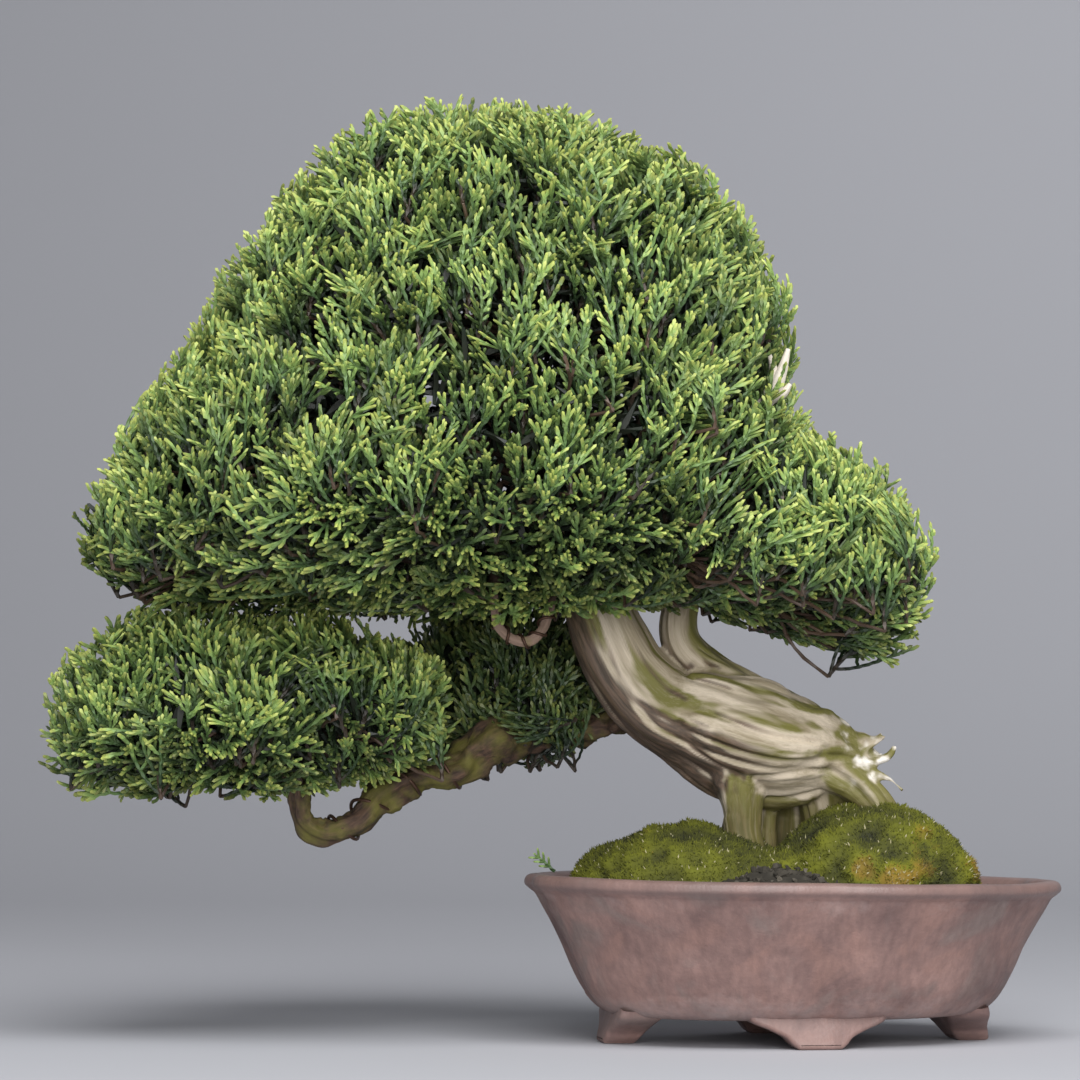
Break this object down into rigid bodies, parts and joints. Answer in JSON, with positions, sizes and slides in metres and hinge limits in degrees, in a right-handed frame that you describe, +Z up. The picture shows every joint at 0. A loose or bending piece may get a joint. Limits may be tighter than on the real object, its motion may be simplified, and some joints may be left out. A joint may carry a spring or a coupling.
{
  "type": "bonsai tree in a pot",
  "caption": "Small slanting juniper bonsai with a domed scale-leaf crown, a bleached driftwood trunk and moss, in a lobed unglazed clay pot on bracket feet.",
  "frame": {"origin": "middle of the footprint of the whole plant and pot, on the surface that the pot's feet stand on", "axes": "+Z up; +X to the viewer's right, from the crown's overhang towards the pot; +Y away from the viewer, to the back"},
  "size_m": [0.2366, 0.1492, 0.2215],
  "materials": {
    "clay": "unglazed purplish red-brown stoneware with a pale lime bloom",
    "plastic_mesh": "black drainage mesh",
    "soil": "damp dark fired-clay and lava grains",
    "moss": "living cushion moss, yellow-green to golden",
    "deadwood": "bleached weathered juniper with green algae along its grain",
    "bark": "red-brown stringy juniper bark",
    "foliage": "scale-leaf juniper shoots, deep green with yellow-green tips",
    "wire": "dark annealed training wire"
  },
  "bodies": {
    "root": {"branch_back": "bark", "branch_back_left": "bark", "branch_front": "bark", "branch_front_left": "bark", "branch_left": "bark", "branch_loop": "bark", "branch_low_left": "bark", "branch_rear_low": "bark", "branch_right": "bark", "branch_right_back": "bark", "branch_right_front": "bark", "branch_upper_left": "bark", "branch_upper_right": "bark", "crown_jin": "deadwood", "drainage_screen_left": "plastic_mesh", "drainage_screen_right": "plastic_mesh", "foliage_apex": "foliage", "foliage_bottom_back": "foliage", "foliage_bottom_front": "foliage", "foliage_bottom_left": "foliage", "foliage_left": "foliage", "foliage_left_shoulder": "foliage", "foliage_low_back": "foliage", "foliage_low_back_left": "foliage", "foliage_low_front": "foliage", "foliage_low_front_left": "foliage", "foliage_mid_back": "foliage", "foliage_mid_back_left": "foliage", "foliage_mid_back_right": "foliage", "foliage_mid_front": "foliage", "foliage_mid_front_left": "foliage", "foliage_mid_front_right": "foliage", "foliage_rear_low": "foliage", "foliage_right": "foliage", "foliage_right_back": "foliage", "foliage_right_front": "foliage", "foliage_right_shoulder": "foliage", "foliage_right_tip": "foliage", "foliage_upper_back": "foliage", "foliage_upper_front": "foliage", "foliage_upper_left": "foliage", "foliage_upper_right": "foliage", "moss_back_left": "moss", "moss_back_right": "moss", "moss_front": "moss", "moss_left": "moss", "moss_right": "moss", "pot": "clay", "soil": "soil", "stray_sprig": "foliage", "training_wire_loop": "wire", "training_wire_low": "wire", "trunk": "deadwood"}
  },
  "joints": []
}
